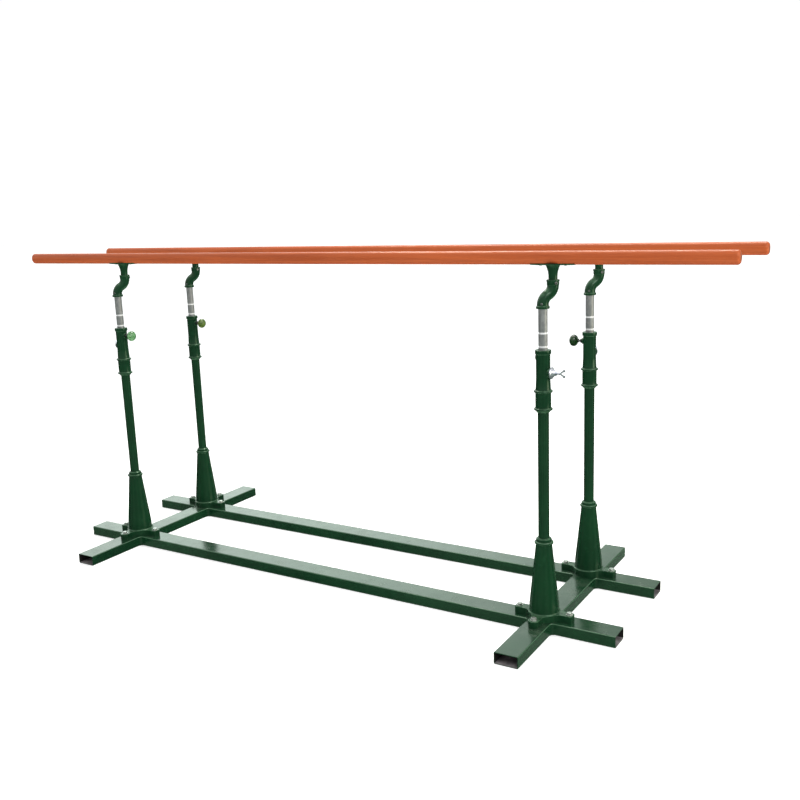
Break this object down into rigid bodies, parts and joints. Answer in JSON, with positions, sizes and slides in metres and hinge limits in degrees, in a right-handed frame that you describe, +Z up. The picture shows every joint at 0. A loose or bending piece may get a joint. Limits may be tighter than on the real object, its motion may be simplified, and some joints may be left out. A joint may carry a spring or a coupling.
{
  "type": "parallel bars",
  "caption": "Gymnastics parallel bars: long oval wooden rails on height-adjustable cast masts with swivelling cranks, on a welded tube base.",
  "frame": {"origin": "on the floor, under the middle of the bars along X and the middle of the base along Y", "axes": "+X along the bars, +Y across them from the front bar to the rear bar, +Z up"},
  "size_m": [3.5, 1.2, 1.45],
  "materials": {
    "base_enamel": "glossy deep green enamel",
    "tube_enamel": "glossy deep green enamel",
    "casting_enamel": "glossy deep green enamel on cast iron",
    "galvanised_tube": "dull zinc coating",
    "zinc_fasteners": "bright zinc plate",
    "zinc_clamp": "bright zinc plate",
    "blackened_steel": "blackened",
    "spring_steel": "bright spring wire",
    "knob_enamel": "glossy mid green",
    "bush_plastic": "plain nylon",
    "bar_wood": "orange-brown varnish",
    "plug_wood": "orange-brown varnish",
    "glass_fibre": "pultruded rod"
  },
  "bodies": {
    "base": {"clamp_cups": "zinc_clamp", "column_front_left": "tube_enamel", "column_front_right": "tube_enamel", "column_rear_left": "tube_enamel", "column_rear_right": "tube_enamel", "cross_member_left": "base_enamel", "cross_member_right": "base_enamel", "guide_bushes": "bush_plastic", "head_front_left": "casting_enamel", "head_front_right": "casting_enamel", "head_rear_left": "casting_enamel", "head_rear_right": "casting_enamel", "pedestal_bolts": "zinc_fasteners", "pedestal_front_left": "casting_enamel", "pedestal_front_right": "casting_enamel", "pedestal_nuts": "zinc_fasteners", "pedestal_rear_left": "casting_enamel", "pedestal_rear_right": "casting_enamel", "pedestal_washers": "zinc_fasteners", "plunger_housings": "blackened_steel", "plunger_spring_front_left": "spring_steel", "plunger_spring_front_right": "spring_steel", "plunger_spring_rear_left": "spring_steel", "plunger_spring_rear_right": "spring_steel", "rail_front": "base_enamel", "rail_rear": "base_enamel", "rail_stubs": "base_enamel"},
    "lift_front_left": {"lift_tube_front_left": "galvanised_tube"},
    "crank_front_left": {"elbow_front_left": "casting_enamel", "elbow_screws_front_left": "zinc_fasteners"},
    "latch_front_left": {"plunger_front_left": "knob_enamel"},
    "clamp_front_left": {"clamp_screw_front_left": "zinc_clamp"},
    "lift_front_right": {"lift_tube_front_right": "galvanised_tube"},
    "crank_front_right": {"elbow_front_right": "casting_enamel", "elbow_screws_front_right": "zinc_fasteners"},
    "latch_front_right": {"plunger_front_right": "knob_enamel"},
    "clamp_front_right": {"clamp_screw_front_right": "zinc_clamp"},
    "front_rail": {"front_bar": "bar_wood", "front_bar_core": "glass_fibre", "front_bar_plugs": "plug_wood", "saddle_front_left": "casting_enamel", "saddle_front_right": "casting_enamel", "saddle_screws_front": "zinc_fasteners"},
    "lift_rear_left": {"lift_tube_rear_left": "galvanised_tube"},
    "crank_rear_left": {"elbow_rear_left": "casting_enamel", "elbow_screws_rear_left": "zinc_fasteners"},
    "latch_rear_left": {"plunger_rear_left": "knob_enamel"},
    "clamp_rear_left": {"clamp_screw_rear_left": "zinc_clamp"},
    "lift_rear_right": {"lift_tube_rear_right": "galvanised_tube"},
    "crank_rear_right": {"elbow_rear_right": "casting_enamel", "elbow_screws_rear_right": "zinc_fasteners"},
    "latch_rear_right": {"plunger_rear_right": "knob_enamel"},
    "clamp_rear_right": {"clamp_screw_rear_right": "zinc_clamp"},
    "rear_rail": {"rear_bar": "bar_wood", "rear_bar_core": "glass_fibre", "rear_bar_plugs": "plug_wood", "saddle_rear_left": "casting_enamel", "saddle_rear_right": "casting_enamel", "saddle_screws_rear": "zinc_fasteners"}
  },
  "joints": [
    {"name": "height_front_left", "type": "slide", "parent": "base", "child": "lift_front_left", "axis": [0, 0, 1], "range_m": [-0.1, 0.25]},
    {"name": "swing_front_left", "type": "hinge", "parent": "lift_front_left", "child": "crank_front_left", "pos_m": [-1.12779, -0.245, 1.257], "axis": [0, 0, 1], "range_deg": [-136, 44]},
    {"name": "height_front_right", "type": "slide", "parent": "base", "child": "lift_front_right", "axis": [0, 0, 1], "range_m": [-0.1, 0.25]},
    {"name": "swing_front_right", "type": "hinge", "parent": "lift_front_right", "child": "crank_front_right", "pos_m": [1.07221, -0.245, 1.257], "axis": [0, 0, 1], "range_deg": [-136, 44]},
    {"name": "saddle_turn_front_left", "type": "hinge", "parent": "crank_front_left", "child": "front_rail", "pos_m": [-1.1, -0.21623, 1.335], "axis": [0, 0, 1], "range_deg": [-44, 136]},
    {"name": "height_rear_left", "type": "slide", "parent": "base", "child": "lift_rear_left", "axis": [0, 0, 1], "range_m": [-0.1, 0.25]},
    {"name": "swing_rear_left", "type": "hinge", "parent": "lift_rear_left", "child": "crank_rear_left", "pos_m": [-1.12779, 0.245, 1.257], "axis": [0, 0, 1], "range_deg": [-136, 44]},
    {"name": "height_rear_right", "type": "slide", "parent": "base", "child": "lift_rear_right", "axis": [0, 0, 1], "range_m": [-0.1, 0.25]},
    {"name": "swing_rear_right", "type": "hinge", "parent": "lift_rear_right", "child": "crank_rear_right", "pos_m": [1.07221, 0.245, 1.257], "axis": [0, 0, 1], "range_deg": [-136, 44]},
    {"name": "saddle_turn_rear_left", "type": "hinge", "parent": "crank_rear_left", "child": "rear_rail", "pos_m": [-1.1, 0.27377, 1.335], "axis": [0, 0, 1], "range_deg": [-44, 136]},
    {"name": "latch_front_left", "type": "slide", "parent": "base", "child": "latch_front_left", "axis": [1, 0, 0], "range_m": [0, 0.006], "stiffness_N_per_m": 1500, "springref_m": -0.005, "deforming": ["plunger_spring_front_left"]},
    {"name": "clamp_turn_front_left", "type": "hinge", "parent": "base", "child": "clamp_front_left", "pos_m": [-1.17477, -0.2279, 1.008], "axis": [-0.9397, 0.342, 0], "range_deg": [0, 360]},
    {"name": "latch_front_right", "type": "slide", "parent": "base", "child": "latch_front_right", "axis": [-0.3746, 0.9272, 0], "range_m": [0, 0.006], "stiffness_N_per_m": 1500, "springref_m": -0.005, "deforming": ["plunger_spring_front_right"]},
    {"name": "clamp_turn_front_right", "type": "hinge", "parent": "base", "child": "clamp_front_right", "pos_m": [1.12221, -0.245, 1.008], "axis": [1, 0, 0], "range_deg": [0, 360]},
    {"name": "latch_rear_left", "type": "slide", "parent": "base", "child": "latch_rear_left", "axis": [1, 0, 0], "range_m": [0, 0.006], "stiffness_N_per_m": 1500, "springref_m": -0.005, "deforming": ["plunger_spring_rear_left"]},
    {"name": "clamp_turn_rear_left", "type": "hinge", "parent": "base", "child": "clamp_rear_left", "pos_m": [-1.16314, 0.28036, 1.008], "axis": [-0.7071, 0.7071, 0], "range_deg": [0, 360]},
    {"name": "latch_rear_right", "type": "slide", "parent": "base", "child": "latch_rear_right", "axis": [-1, 0, 0], "range_m": [0, 0.006], "stiffness_N_per_m": 1500, "springref_m": -0.005, "deforming": ["plunger_spring_rear_right"]},
    {"name": "clamp_turn_rear_right", "type": "hinge", "parent": "base", "child": "clamp_rear_right", "pos_m": [1.07221, 0.295, 1.008], "axis": [0, 1, 0], "range_deg": [0, 360]}
  ],
  "couplings": [
    {"joint": "height_front_right", "follows": "height_front_left", "ratio": 1},
    {"joint": "swing_front_right", "follows": "swing_front_left", "ratio": 1},
    {"joint": "saddle_turn_front_left", "follows": "swing_front_left", "ratio": -1},
    {"joint": "height_rear_right", "follows": "height_rear_left", "ratio": 1},
    {"joint": "swing_rear_right", "follows": "swing_rear_left", "ratio": 1},
    {"joint": "saddle_turn_rear_left", "follows": "swing_rear_left", "ratio": -1}
  ]
}
